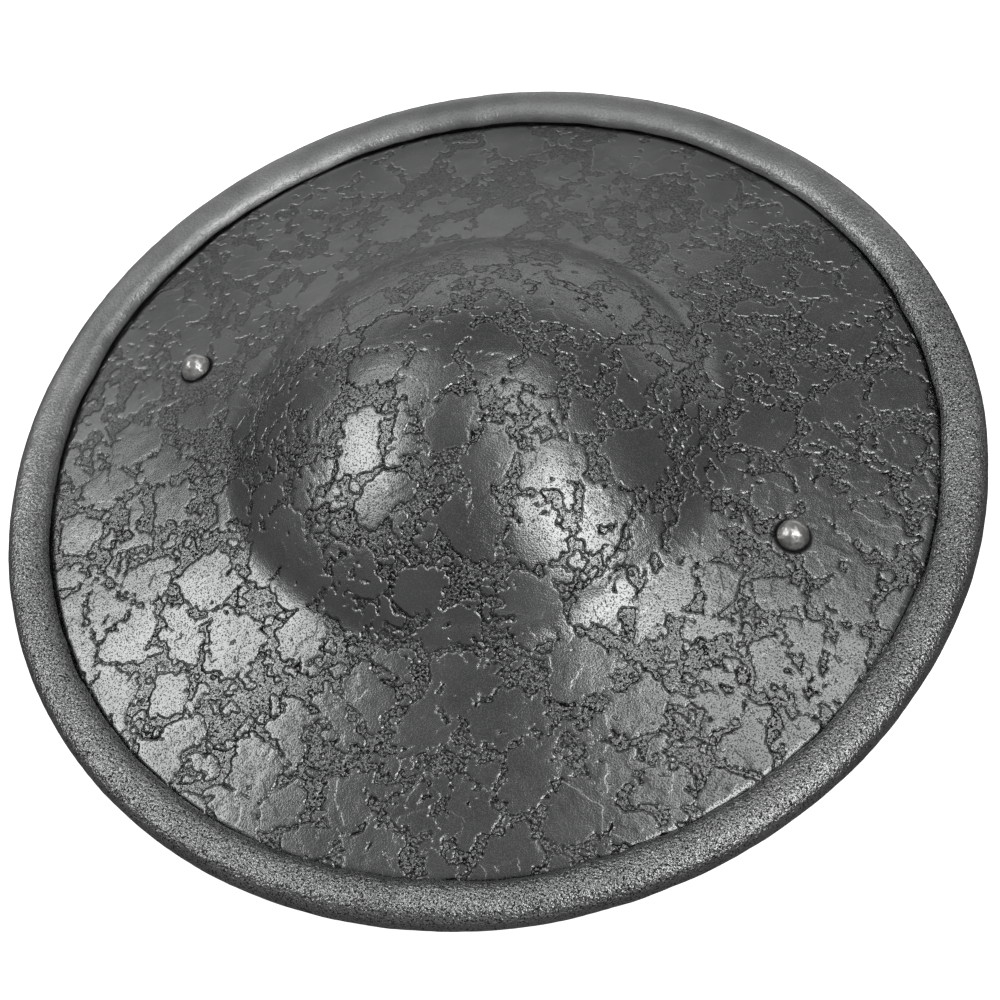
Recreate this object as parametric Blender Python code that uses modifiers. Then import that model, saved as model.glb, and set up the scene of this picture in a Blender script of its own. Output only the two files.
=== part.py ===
"""A steel buckler: a round sheet raised into a shallow cone with a boss in the middle, its edge
rolled forward into a rim. A forged grip crosses the hollow of the boss, held by two rivets.

Metres, +Z up. The shield lies on its rim with the boss up. The origin is the centre of the circle
that it lies on, and the grip runs along X.
"""

import math

import bmesh
import bpy

# Whole shield.
RADIUS = 0.150
SHEET = 0.0015
GAP = 0.0003
TURN_STEPS = 64

# Rolled rim: the size of its section, how square that is, and where the roll starts and ends.
RIM_WIDTH = 0.0136
RIM_HEIGHT = 0.0111
RIM_SQUARENESS = 2.5
RIM_UNDER_STEPS = 3
RIM_SHOULDER_STEPS = 4
RIM_TOP_STEPS = 3
LIP_ANGLE = math.radians(154)
LAND_WIDTH = 0.0036
BEND_WIDTH = 0.0070
BEND_PULL = 0.0030
BEND_STEPS = 3

# Coned plate, by its front face: height below the lip, slope there, and the gain in slope inwards.
PLATE_EDGE_HEIGHT = 0.0068
PLATE_EDGE_SLOPE = math.radians(9.1)
PLATE_FLARE = 1.75
PLATE_STEPS = 3

# Boss, by its front face: a spherical cap on the plate, with a small fillet round its foot.
BOSS_RADIUS = 0.0730
BOSS_RISE = 0.0340
BOSS_FILLET = 0.0030
BOSS_STEPS = 9
FILLET_STEPS = 3

# Rivets.
RIVET_RADIUS = 0.0995
RIVET_STEPS = 18
HEAD_RADIUS = 0.00475
HEAD_HEIGHT = 0.0049
SHANK_RADIUS = 0.0025
TAIL_RADIUS = 0.0042
TAIL_HEIGHT = 0.0018
DOME_STEPS = 5
HOLE_DEPTH = 0.030

# Grip: flat lugs under the plate, and a thicker bar with rounded edges where the hand closes.
LUG_WIDTH = 0.026
LUG_THICKNESS = 0.003
LUG_EDGE = 0.0012
BAR_WIDTH = 0.022
BAR_THICKNESS = 0.009
BAR_EDGE = 0.0042
BAR_HEIGHT = 0.0190
BAR_HALF_LENGTH = 0.048
LUG_INNER_END = 0.0840
LUG_TIP_ANGLES = (20, 40, 57, 70, 80)
CORNER_STEPS = 3
NECK_STEPS = 8
NECK_PULL = 0.014


def clear_scene():
    """Empties the scene, so that the file holds the shield alone."""
    for item in list(bpy.data.objects):
        bpy.data.objects.remove(item)


def make_collection(name):
    """A new collection, linked to the scene."""
    collection = bpy.data.collections.new(name)
    bpy.context.scene.collection.children.link(collection)
    return collection


def make_metal(name, color, roughness):
    """A bare metal, as a Principled material."""
    material = bpy.data.materials.new(name)
    material.use_nodes = True
    shader = material.node_tree.nodes["Principled BSDF"]
    shader.inputs["Base Color"].default_value = (*color, 1.0)
    shader.inputs["Metallic"].default_value = 1.0
    shader.inputs["Roughness"].default_value = roughness
    material.diffuse_color = (*color, 1.0)
    return material


def arc(start, end, steps):
    """Evenly spaced values from start to end, both ends included."""
    return [start + (end - start) * i / steps for i in range(steps + 1)]


def bezier(points, t):
    """The point at t on the Bezier curve with these control points."""
    while len(points) > 1:
        points = [
            tuple(a + (b - a) * t for a, b in zip(first, second))
            for first, second in zip(points, points[1:])
        ]
    return points[0]


def plate_front(radius):
    """Height of the plate's front face at this radius."""
    inward = RADIUS - RIM_WIDTH - radius
    return PLATE_EDGE_HEIGHT + math.tan(PLATE_EDGE_SLOPE) * inward + PLATE_FLARE * inward**2


def plate_angle(radius):
    """Angle of the plate's front face below the horizontal, going outwards."""
    inward = RADIUS - RIM_WIDTH - radius
    return math.atan(math.tan(PLATE_EDGE_SLOPE) + 2 * PLATE_FLARE * inward)


def under_plate(radius, depth):
    """(radius, height) of the point this deep under the plate's front face, square to it."""
    angle = plate_angle(radius)
    return (
        radius - depth * math.sin(angle),
        plate_front(radius) - depth * math.cos(angle),
    )


def boss_line():
    """Middle line of the boss's sheet, from its crown to where the fillet starts."""
    sphere = (BOSS_RADIUS**2 + BOSS_RISE**2) / (2 * BOSS_RISE)
    centre = plate_front(BOSS_RADIUS) + BOSS_RISE - sphere
    middle = sphere - SHEET / 2
    foot = math.asin(BOSS_RADIUS / sphere) - BOSS_FILLET / sphere
    return [
        (middle * math.sin(a), centre + middle * math.cos(a))
        for a in arc(0, foot, BOSS_STEPS)
    ]


def plate_line():
    """Middle line of the plate's sheet, from the boss's fillet to the bend into the rim."""
    start = BOSS_RADIUS + BOSS_FILLET
    end = RADIUS - RIM_WIDTH / 2 - LAND_WIDTH / 2 - BEND_WIDTH
    return [under_plate(r, SHEET / 2) for r in arc(start, end, PLATE_STEPS)]


def rim_line():
    """Middle line of the roll: a flat land below, up the outside, over the top and in to the lip."""
    centre = RADIUS - RIM_WIDTH / 2
    half_width = (RIM_WIDTH - SHEET) / 2
    half_height = (RIM_HEIGHT - SHEET) / 2
    line = [(centre - LAND_WIDTH / 2, SHEET / 2), (centre + LAND_WIDTH / 2, SHEET / 2)]
    power = 2 / RIM_SQUARENESS
    land_end = -math.acos((LAND_WIDTH / 2 / half_width) ** (1 / power))
    under = arc(land_end, 0, RIM_UNDER_STEPS)
    shoulder = arc(0, math.pi / 2, RIM_SHOULDER_STEPS)
    top = arc(math.pi / 2, LIP_ANGLE, RIM_TOP_STEPS)
    for angle in under[1:] + shoulder[1:] + top[1:]:
        across, up = math.cos(angle), math.sin(angle)
        line.append(
            (
                centre + half_width * math.copysign(abs(across) ** power, across),
                RIM_HEIGHT / 2 + half_height * math.copysign(abs(up) ** power, up),
            )
        )
    return line


def sheet_line():
    """Middle line of the whole sheet, from the boss's crown to the rim's lip."""
    boss, plate, rim = boss_line(), plate_line(), rim_line()
    crease = under_plate(BOSS_RADIUS, SHEET / 2)
    fillet = [
        bezier([boss[-1], crease, plate[0]], i / FILLET_STEPS)
        for i in range(1, FILLET_STEPS)
    ]
    (end_x, end_z), (land_x, land_z) = plate[-1], rim[0]
    slope = plate_angle(end_x)
    pulled = (end_x + BEND_PULL * math.cos(slope), end_z - BEND_PULL * math.sin(slope))
    controls = [plate[-1], pulled, (land_x - BEND_PULL, land_z), rim[0]]
    bend = [bezier(controls, i / BEND_STEPS) for i in range(1, BEND_STEPS)]
    return boss + fillet + plate + bend + rim


def turned(name, profile, steps, collection):
    """A new object: this (radius, height) profile turned about Z with a Screw modifier."""
    mesh = bpy.data.meshes.new(name)
    edges = [(i, i + 1) for i in range(len(profile) - 1)]
    mesh.from_pydata([(r, 0, z) for r, z in profile], edges, [])
    item = bpy.data.objects.new(name, mesh)
    collection.objects.link(item)
    screw = item.modifiers.new("turn", "SCREW")
    screw.axis = "Z"
    screw.steps = steps
    screw.render_steps = steps
    screw.use_merge_vertices = True
    screw.merge_threshold = 0.00001
    return item


def rivet_frames():
    """(name, side, tilt) of each rivet. It stands square to the plate on its side of the boss."""
    tilt = plate_angle(RIVET_RADIUS)
    return [("rivet_left", -1, -tilt), ("rivet_right", 1, tilt)]


def stand_on_plate(item, side, tilt):
    """Puts an object's origin on the plate's front face, with its Z axis square to the face."""
    item.location = (side * RIVET_RADIUS, 0, plate_front(RIVET_RADIUS))
    item.rotation_euler = (0, tilt, 0)


def make_hole_cutters(collection):
    """One cylinder on each rivet's axis, wider than the shank by the gap."""
    cutters = []
    for name, side, tilt in rivet_frames():
        shape = bmesh.new()
        bmesh.ops.create_cone(
            shape,
            cap_ends=True,
            segments=RIVET_STEPS,
            radius1=SHANK_RADIUS + GAP,
            radius2=SHANK_RADIUS + GAP,
            depth=HOLE_DEPTH,
        )
        mesh = bpy.data.meshes.new(name + "_hole")
        shape.to_mesh(mesh)
        shape.free()
        cutter = bpy.data.objects.new(name + "_hole", mesh)
        collection.objects.link(cutter)
        stand_on_plate(cutter, side, tilt)
        cutter.hide_render = True
        cutter.display_type = "WIRE"
        cutters.append(cutter)
    return cutters


def drill(item, cutters):
    """Cuts the rivet holes."""
    for cutter in cutters:
        cut = item.modifiers.new(cutter.name, "BOOLEAN")
        cut.operation = "DIFFERENCE"
        cut.solver = "EXACT"
        cut.object = cutter


def make_shield_plate(collection, cutters):
    """The sheet: boss, plate and rolled rim in one."""
    item = turned("shield_plate", sheet_line(), TURN_STEPS, collection)
    wall = item.modifiers.new("sheet", "SOLIDIFY")
    wall.thickness = SHEET
    wall.offset = 0
    wall.use_even_offset = True
    drill(item, cutters)
    item.data.materials.append(make_metal("etched_dark_steel", (0.13, 0.13, 0.135), 0.42))
    return item


def rivet_profile():
    """Outside of a rivet from its head's crown to its tail's, with height 0 on the plate's face."""
    quarter = arc(0, math.pi / 2, DOME_STEPS)
    head = [(HEAD_RADIUS * math.sin(a), GAP + HEAD_HEIGHT * math.cos(a)) for a in quarter]
    grip_back = -(SHEET + GAP + LUG_THICKNESS + GAP)
    shank = [(SHANK_RADIUS, GAP), (SHANK_RADIUS, grip_back)]
    tail = [
        (TAIL_RADIUS * math.cos(a), grip_back - TAIL_HEIGHT * math.sin(a)) for a in quarter
    ]
    profile = head + shank + tail
    profile[0] = (0, profile[0][1])
    profile[-1] = (0, profile[-1][1])
    return profile


def make_rivets(collection):
    """A dome-headed rivet on each side of the boss."""
    steel = make_metal("polished_rivet_steel", (0.45, 0.45, 0.46), 0.25)
    rivets = []
    for name, side, tilt in rivet_frames():
        rivet = turned(name, rivet_profile(), RIVET_STEPS, collection)
        stand_on_plate(rivet, side, tilt)
        rivet.data.materials.append(steel)
        rivets.append(rivet)
    return rivets


def bar_section(width, thickness, edge):
    """(across, up) points round a rectangle with rounded corners."""
    points = []
    for corner in range(4):
        for turn in arc(corner * math.pi / 2, (corner + 1) * math.pi / 2, CORNER_STEPS):
            side = math.copysign(width / 2 - edge, math.cos(math.pi / 4 + corner * math.pi / 2))
            rise = math.copysign(
                thickness / 2 - edge, math.sin(math.pi / 4 + corner * math.pi / 2)
            )
            points.append((side + edge * math.cos(turn), rise + edge * math.sin(turn)))
    return points


def grip_stations():
    """Stations along the grip's right half, from its tip inwards.

    Each is (x, z, slope, width, thickness, edge), with slope the angle below the horizontal.
    """
    depth = SHEET + GAP + LUG_THICKNESS / 2
    slope = plate_angle(RIVET_RADIUS)
    rivet_x, rivet_z = under_plate(RIVET_RADIUS, depth)
    lug = (LUG_THICKNESS, LUG_EDGE)
    stations = []
    for angle in reversed(LUG_TIP_ANGLES):
        along = LUG_WIDTH / 2 * math.sin(math.radians(angle))
        width = LUG_WIDTH * math.cos(math.radians(angle))
        stations.append(
            (rivet_x + along * math.cos(slope), rivet_z - along * math.sin(slope), slope, width, *lug)
        )
    stations.append((rivet_x, rivet_z, slope, LUG_WIDTH, *lug))
    neck_x = LUG_INNER_END
    neck_z = rivet_z + (rivet_x - neck_x) * math.tan(slope)
    pulled = (neck_x - NECK_PULL * math.cos(slope), neck_z + NECK_PULL * math.sin(slope))
    controls = [(neck_x, neck_z), pulled, (BAR_HALF_LENGTH + NECK_PULL, BAR_HEIGHT)]
    controls.append((BAR_HALF_LENGTH, BAR_HEIGHT))
    for t in arc(0, 1, NECK_STEPS):
        x, z = bezier(controls, t)
        swell = t * t * (3 - 2 * t)
        sizes = [
            a + (b - a) * swell
            for a, b in zip((LUG_WIDTH, *lug), (BAR_WIDTH, BAR_THICKNESS, BAR_EDGE))
        ]
        ahead_x, ahead_z = bezier(controls, min(t + 0.01, 1))
        behind_x, behind_z = bezier(controls, max(t - 0.01, 0))
        turn = math.atan2(ahead_z - behind_z, behind_x - ahead_x)
        stations.append((x, z, turn, *sizes))
    return stations


def make_grip(collection, cutters):
    """The grip: a loft through its stations, mirrored to the other side of the boss."""
    half = grip_stations()
    mirrored = [(-x, z, -slope, *sizes) for x, z, slope, *sizes in reversed(half)]
    shape = bmesh.new()
    rings = []
    for x, z, slope, width, thickness, edge in half + mirrored:
        edge = min(edge, width * 0.49)
        rings.append(
            [
                shape.verts.new((x + up * math.sin(slope), across, z + up * math.cos(slope)))
                for across, up in bar_section(width, thickness, edge)
            ]
        )
    for near, far in zip(rings, rings[1:]):
        for i in range(len(near)):
            j = (i + 1) % len(near)
            shape.faces.new((near[i], near[j], far[j], far[i]))
    shape.faces.new(list(reversed(rings[0])))
    shape.faces.new(rings[-1])
    bmesh.ops.remove_doubles(shape, verts=shape.verts, dist=0.000001)
    bmesh.ops.recalc_face_normals(shape, faces=shape.faces)
    mesh = bpy.data.meshes.new("grip")
    shape.to_mesh(mesh)
    shape.free()
    mesh.shade_smooth()
    mesh.set_sharp_from_angle(angle=math.radians(35))
    item = bpy.data.objects.new("grip", mesh)
    collection.objects.link(item)
    drill(item, cutters)
    item.data.materials.append(make_metal("forged_grip_steel", (0.20, 0.20, 0.205), 0.5))
    return item


def main():
    """Builds the shield."""
    clear_scene()
    parts = make_collection("buckler_shield")
    helpers = make_collection("cutters")
    cutters = make_hole_cutters(helpers)
    pieces = [make_shield_plate(parts, cutters), make_grip(parts, cutters)]
    pieces += make_rivets(parts)
    origin = bpy.data.objects.new("shield_origin", None)
    parts.objects.link(origin)
    for piece in pieces:
        piece.parent = origin


main()
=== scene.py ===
"""The looks of a steel buckler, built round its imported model.

One steel sheet carries the boss, the coned plate and the rolled rim. Its front is etched, so that smooth
raised islands stand a little proud of a rough, darker ground. Two dome-headed rivets go through it to a
forged grip on the back. Everything is in metres, +Z up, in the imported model's own frame: the shield lies on
its rim, the grip runs along X, and the origin is at the middle of the circle that it lies on.
"""

from __future__ import annotations

import logging
import math
from concurrent.futures import ThreadPoolExecutor
from dataclasses import dataclass, field
from enum import Enum
from functools import partial
from typing import Callable, Iterable, Sequence

import bpy
import numpy as np
from mathutils import Matrix, Vector
from mathutils.kdtree import KDTree

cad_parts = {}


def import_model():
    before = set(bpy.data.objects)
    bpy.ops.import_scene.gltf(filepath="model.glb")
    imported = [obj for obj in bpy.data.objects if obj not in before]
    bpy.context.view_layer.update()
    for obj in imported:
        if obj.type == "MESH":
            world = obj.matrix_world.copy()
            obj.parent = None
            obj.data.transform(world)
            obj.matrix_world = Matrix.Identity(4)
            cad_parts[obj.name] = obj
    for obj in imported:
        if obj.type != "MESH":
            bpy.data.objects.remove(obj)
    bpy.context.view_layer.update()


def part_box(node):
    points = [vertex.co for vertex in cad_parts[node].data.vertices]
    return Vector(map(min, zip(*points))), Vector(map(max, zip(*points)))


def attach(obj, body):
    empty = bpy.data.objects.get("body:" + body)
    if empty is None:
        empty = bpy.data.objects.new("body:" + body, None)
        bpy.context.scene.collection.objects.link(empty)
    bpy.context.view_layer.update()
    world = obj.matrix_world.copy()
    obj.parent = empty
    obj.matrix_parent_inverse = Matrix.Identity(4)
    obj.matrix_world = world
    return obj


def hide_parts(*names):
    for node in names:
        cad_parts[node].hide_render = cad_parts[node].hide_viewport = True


log = logging.getLogger("buckler")

MM = 0.001
BODY = "root"
ISLANDS = "islands"
TERRACES = "terraces"
POINTS_PER_BATCH = 16000
FULL_TURN = 2 * math.pi
AXIS_FACTORS = (73856093, 19349663, 83492791)
SEED_FACTOR = 2654435761
MIXING_ROUNDS = ((16, 0x7FEB352D), (15, 0x846CA68B))
HALF_BITS = 16
HALF_RANGE = 2**HALF_BITS
NOISE_GAIN = 1.9


class Slot(Enum):
    """The record's material slots."""

    ETCHED = "etched_steel"
    FORGED = "forged_steel"
    RIVET = "rivet_steel"


# ---- Noise in space, worked out for whole arrays of points at once ----


def scramble(lattice: np.ndarray, seed: int) -> np.ndarray:
    """Gives each lattice cell a number of its own.

    Args:
        lattice: whole-number cell positions, three to a row.
        seed: picks one scramble out of many.

    Returns:
        One 32-bit number for each cell.
    """
    whole = lattice.astype(np.int32).view(np.uint32)
    mixed = np.full(len(whole), seed * SEED_FACTOR & 0xFFFFFFFF, np.uint32)
    for axis, factor in enumerate(AXIS_FACTORS):
        mixed ^= whole[:, axis] * np.uint32(factor)
    for shift, factor in MIXING_ROUNDS:
        mixed = (mixed ^ (mixed >> np.uint32(shift))) * np.uint32(factor)
    return mixed ^ (mixed >> np.uint32(HALF_BITS))


def chance(lattice: np.ndarray, seed: int) -> np.ndarray:
    """A number from 0 to 1 for each cell."""
    return scramble(lattice, seed).astype(np.float32) / np.float32(2**32)


def corner_steps(first: int, last: int) -> np.ndarray:
    """Every step from a cell whose parts run from first to last."""
    reach = range(first, last + 1)
    return np.array([(x, y, z) for x in reach for y in reach for z in reach], np.float32)


CELL_CORNERS = corner_steps(0, 1)
CELLS_AROUND = corner_steps(-1, 1)


def noise(points: np.ndarray, size: float, seed: int) -> np.ndarray:
    """Smooth noise.

    Args:
        points: positions, three to a row.
        size: how far apart its humps are, in the points' own unit.
        seed: picks one pattern out of many.

    Returns:
        A value from about -1 to 1 for each point.
    """
    scaled = (points / size).astype(np.float32)
    cell = np.floor(scaled)
    inside = scaled - cell
    ease = inside * inside * inside * (inside * (inside * 6 - 15) + 10)
    total = np.zeros(len(points), np.float32)
    for corner in CELL_CORNERS:
        code = scramble(cell + corner, seed)
        turn = (code & np.uint32(HALF_RANGE - 1)).astype(np.float32) * np.float32(FULL_TURN / HALF_RANGE)
        rise = (code >> np.uint32(HALF_BITS)).astype(np.float32) * np.float32(2 / HALF_RANGE) - 1
        flat = np.sqrt(1 - rise * rise)
        away = inside - corner
        slope = (np.cos(turn) * away[:, 0] + np.sin(turn) * away[:, 1]) * flat + rise * away[:, 2]
        total += np.prod(np.where(corner > 0, ease, 1 - ease), axis=1) * slope
    return total * NOISE_GAIN


def blows(
    points: np.ndarray, sizes: tuple[float, float], share: float, seed: int, step: int = 1
) -> np.ndarray:
    """Heavy blows and light ones: one noise, and on top of it a share of another.

    Args:
        points: positions, three to a row.
        sizes: the two noises' sizes, in the points' own unit.
        share: how strong the second one is.
        seed: the first one's seed.
        step: how far past it the second one's seed is.

    Returns:
        A value for each point, with its mean near 0.
    """
    return noise(points, sizes[0], seed) + share * noise(points, sizes[1], seed + step)


def bent(points: np.ndarray, bends: Iterable[tuple[float, float, int]]) -> np.ndarray:
    """Pushes points about, so that a straight line drawn through them turns ragged.

    Args:
        points: positions, three to a row.
        bends: for each push, its noise's size, how far it goes and its seed.

    Returns:
        The new positions.
    """
    moved = points
    for size, reach, seed in bends:
        push = np.stack([noise(points, size, seed + axis) for axis in range(3)], axis=1)
        moved = moved + reach * push
    return moved


def cells(points: np.ndarray, size: float, seed: int) -> tuple[np.ndarray, np.ndarray, np.ndarray]:
    """Splits space into uneven cells, each round a site of its own.

    Args:
        points: positions, three to a row.
        size: mean width of a cell, in the points' own unit.
        seed: picks one pattern out of many.

    Returns:
        For each point, its distance to its cell's site, its distance to the next cell, and its cell's own
        number from 0 to 1.
    """
    scaled = (points / size).astype(np.float32)
    cell = np.floor(scaled)
    first = np.full(len(points), 1e9, np.float32)
    second = np.full(len(points), 1e9, np.float32)
    first_site = np.zeros_like(scaled)
    second_site = np.zeros_like(scaled)
    own = np.zeros(len(points), np.float32)
    for step in CELLS_AROUND:
        other = cell + step
        site = other + np.stack([chance(other, seed + axis) for axis in (1, 2, 3)], axis=1)
        away = ((site - scaled) ** 2).sum(axis=1)
        nearest = away < first
        next_nearest = ~nearest & (away < second)
        second = np.where(nearest, first, np.where(next_nearest, away, second))
        second_site = np.where(
            nearest[:, None], first_site, np.where(next_nearest[:, None], site, second_site)
        )
        first = np.where(nearest, away, first)
        first_site = np.where(nearest[:, None], site, first_site)
        own = np.where(nearest, chance(other, seed + 9), own)
    apart = np.sqrt(((first_site - second_site) ** 2).sum(axis=1))
    return np.sqrt(first) * size, (second - first) / (2 * apart) * size, own


def soft_least(one: np.ndarray, other: np.ndarray, blend: float) -> np.ndarray:
    """The lesser of two values, rounded over where they meet within the blend."""
    share = np.clip(0.5 + 0.5 * (other - one) / blend, 0, 1)
    return other + (one - other) * share - blend * share * (1 - share)


def in_batches(measure: Callable[[np.ndarray], np.ndarray], points: np.ndarray) -> np.ndarray:
    """Runs a measure over many points on every core, some thousands at a time.

    Args:
        measure: takes positions and gives a row for each.
        points: positions, three to a row.

    Returns:
        The measure's rows for all the points, in order.
    """
    parts = [points[i : i + POINTS_PER_BATCH] for i in range(0, len(points), POINTS_PER_BATCH)]
    with ThreadPoolExecutor() as pool:
        return np.concatenate(list(pool.map(measure, parts)))


@dataclass(frozen=True)
class EtchedPattern:
    """Where acid has eaten the steel, and where it was kept off.

    Sizes are in millimetres. Two sizes together are those of heavy and light blows. A bend is its noise's
    size, how far it pushes and its seed.
    """

    seed: int = 650
    island_size: float = 17.0
    island_radius: float = 11.0
    radius_spread: float = 5.0
    radius_wave: float = 1.5
    island_bends: tuple[tuple[float, float, int], ...] = ((7.0, 1.6, 653), (2.2, 0.7, 656))
    corner_blend: float = 1.5
    channel_width: float = 2.3
    channel_inset: float = 0.1
    wide_size: float = 20.0
    broken_size: float = 26.0
    lobe_size: float = 4.6
    lobe_reach: float = 3.0
    lobe_mean: float = 0.24
    nibble_size: float = 2.2
    nibble_reach: float = 0.9
    nibble_mean: float = 0.22
    fleck_slope: float = 3.0
    fleck_detail: float = 0.5
    fragment_sizes: tuple[float, float] = (3.2, 1.6)
    fragment_share: float = 0.48
    fragment_sway: float = 0.3
    pit_sizes: tuple[float, float] = (3.6, 1.8)
    pit_share: float = 0.65
    pit_sway: float = 0.25
    jag_size: float = 1.2
    jag_reach: float = 0.14
    sliver_spacing: float = 13.0
    sliver_share: float = 0.34
    sliver_turn: float = 8.8
    sliver_half_length: tuple[float, float] = (1.5, 4.5)
    sliver_half_width: tuple[float, float] = (0.35, 0.35)
    sliver_none: float = -2.0
    terrace_size: float = 14.0
    terrace_bends: tuple[tuple[float, float, int], ...] = ((6.0, 1.4, 730), (2.2, 0.6, 734))
    terrace_inset: float = 0.3
    terrace_lobe_size: float = 4.0
    terrace_lobe_reach: float = 2.6
    terrace_lobe_mean: float = 0.30
    terrace_bare_share: float = 0.55
    terrace_bare: float = -4.0
    terrace_swell: float = 1.0
    terrace_jag_reach: float = 0.3

    def measure(self, points: np.ndarray) -> np.ndarray:
        """Works out the pattern.

        Args:
            points: positions in millimetres, three to a row.

        Returns:
            Two columns, each a distance in millimetres to the edge of what stands proud, positive on it: the
            islands, and the lower terraces that cross them.
        """
        return np.stack([self.islands(points), self.terraces(points)], axis=1)

    def islands(self, points: np.ndarray) -> np.ndarray:
        """Works out the islands.

        Args:
            points: positions in millimetres, three to a row.

        Returns:
            Millimetres into an island, negative on the ground between them.
        """
        seed = self.seed
        broken = noise(points, self.broken_size, seed + 1)
        wide = noise(points, self.wide_size, seed + 2)
        ragged = bent(points, self.island_bends)

        near, border, own = cells(ragged, self.island_size, seed + 10)
        disc = self.island_radius + self.radius_spread * (own - 0.5) - self.radius_wave * wide - near
        apart = border + self.channel_inset - self.channel_width * (1 + wide)
        level = soft_least(apart, disc, self.corner_blend)
        lobes = np.abs(noise(ragged, self.lobe_size, seed + 20))
        level += self.lobe_reach * (lobes - self.lobe_mean)

        fragments = blows(ragged, self.fragment_sizes, self.fleck_detail, seed + 30)
        fragments = fragments - self.fragment_share + self.fragment_sway * broken
        level = np.maximum(level, self.fleck_slope * fragments)
        pits = blows(ragged, self.pit_sizes, self.fleck_detail, seed + 50)
        level = np.minimum(level, self.fleck_slope * (self.pit_share - self.pit_sway * broken - pits))
        nibbles = np.abs(noise(ragged, self.nibble_size, seed + 60))
        level += self.nibble_reach * (nibbles - self.nibble_mean)

        kept, eaten = self.slivers(points)
        level = np.minimum(np.maximum(level, kept), -eaten)
        return level + self.jag_reach * noise(points, self.jag_size, seed + 70)

    def slivers(self, points: np.ndarray) -> tuple[np.ndarray, np.ndarray]:
        """Needle-shaped marks, most of them pointing away from the middle.

        Args:
            points: positions in millimetres.

        Returns:
            Millimetres into a needle that was kept, and into one that was eaten.
        """
        flat = (points[:, :2] / self.sliver_spacing).astype(np.float32)
        cell = np.concatenate([np.floor(flat), np.zeros((len(flat), 1), np.float32)], axis=1)
        kept = np.full(len(flat), self.sliver_none, np.float32)
        eaten = kept.copy()
        for step in CELLS_AROUND[CELLS_AROUND[:, 2] == 0]:
            other = cell + step
            part = [chance(other, self.seed + 110 + kind) for kind in range(7)]
            site = (other[:, :2] + np.stack(part[:2], axis=1)) * self.sliver_spacing
            away = points[:, :2] - site
            turn = np.arctan2(site[:, 1], site[:, 0]) + self.sliver_turn * (part[2] - 0.5) ** 3
            along = away[:, 0] * np.cos(turn) + away[:, 1] * np.sin(turn)
            across = away[:, 1] * np.cos(turn) - away[:, 0] * np.sin(turn)
            half_length = self.sliver_half_length[0] + self.sliver_half_length[1] * part[3] ** 2
            half_width = self.sliver_half_width[0] + self.sliver_half_width[1] * part[4]
            inside = half_width * (1 - (along / half_length) ** 2) - np.abs(across)
            inside = np.maximum(inside, self.sliver_none)
            inside = np.where(part[5] < self.sliver_share, inside, self.sliver_none)
            kept = np.maximum(kept, np.where(part[6] < 0.5, inside, self.sliver_none))
            eaten = np.maximum(eaten, np.where(part[6] < 0.5, self.sliver_none, inside))
        return kept, eaten

    def terraces(self, points: np.ndarray) -> np.ndarray:
        """Works out the lower terraces.

        Args:
            points: positions in millimetres, three to a row.

        Returns:
            Millimetres into a terrace, negative off them.
        """
        ragged = bent(points, self.terrace_bends)
        _, border, own = cells(ragged, self.terrace_size, self.seed + 90)
        lobes = np.abs(noise(ragged, self.terrace_lobe_size, self.seed + 95))
        level = border - self.terrace_inset + self.terrace_lobe_reach * (lobes - self.terrace_lobe_mean)
        level = level + np.where(own < self.terrace_bare_share, self.terrace_bare, self.terrace_swell)
        return level + self.terrace_jag_reach * noise(points, self.jag_size, self.seed + 96)


# ---- Meshes ----


def bridge(outer: np.ndarray, inner: np.ndarray) -> np.ndarray:
    """Joins two rings of points by triangles, whatever their counts.

    Args:
        outer: indices of the outer ring's points, anticlockwise from +X.
        inner: indices of the inner ring's points, in the same order.

    Returns:
        Triangles, three indices to a row, that face up where the outer ring is outermost seen from above.
    """
    many, few = len(outer), len(inner)
    if few == 1:
        return np.stack([outer, np.roll(outer, -1), np.repeat(inner, many)], axis=1)
    steps = np.arange(many)
    reached = np.floor((steps + 0.5) / many * few + 0.5).astype(int)
    along = np.stack([outer, np.roll(outer, -1), inner[reached % few]], axis=1)
    turns = np.arange(few)
    held = np.searchsorted(reached, turns, side="right")
    across = np.stack([np.roll(inner, -1), inner, outer[held % many]], axis=1)
    return np.concatenate([along, across])


@dataclass
class Surface:
    """A surface made ring by ring: its points, its triangles and values held at its points."""

    points: np.ndarray
    triangles: np.ndarray
    rings: list[np.ndarray]
    values: dict[str, np.ndarray] = field(default_factory=dict)

    def flipped(self) -> Surface:
        """The same surface facing the other way."""
        return Surface(self.points, self.triangles[:, ::-1], self.rings, self.values)

    def between(self, first: int, last: int) -> Surface:
        """The stretch from one ring to another.

        Args:
            first: number of the ring that it starts with.
            last: number of the ring that it ends with.

        Returns:
            That stretch, with its own copy of the values.
        """
        start, end = self.rings[first][0], self.rings[last][-1] + 1
        kept = ((self.triangles >= start) & (self.triangles < end)).all(axis=1)
        rings = [ring - start for ring in self.rings[first : last + 1]]
        values = {name: held[start:end] for name, held in self.values.items()}
        return Surface(self.points[start:end], self.triangles[kept] - start, rings, values)


def turned_surface(line: np.ndarray, counts: Iterable[int]) -> Surface:
    """Turns a line about Z.

    Args:
        line: (radius, height) of each ring, in order outwards.
        counts: the number of points round each ring. A ring at radius 0 has one.

    Returns:
        The surface, facing up.
    """
    points, triangles, rings = [], [], []
    start = 0
    for (radius, height), count in zip(line, counts):
        turn = np.arange(count) * (FULL_TURN / count)
        ring = np.stack([radius * np.cos(turn), radius * np.sin(turn), np.full(count, height)], axis=1)
        points.append(ring)
        rings.append(np.arange(start, start + count))
        start += count
    for inner, outer in zip(rings, rings[1:]):
        triangles.append(bridge(outer, inner))
    return Surface(np.concatenate(points), np.concatenate(triangles), rings)


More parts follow.
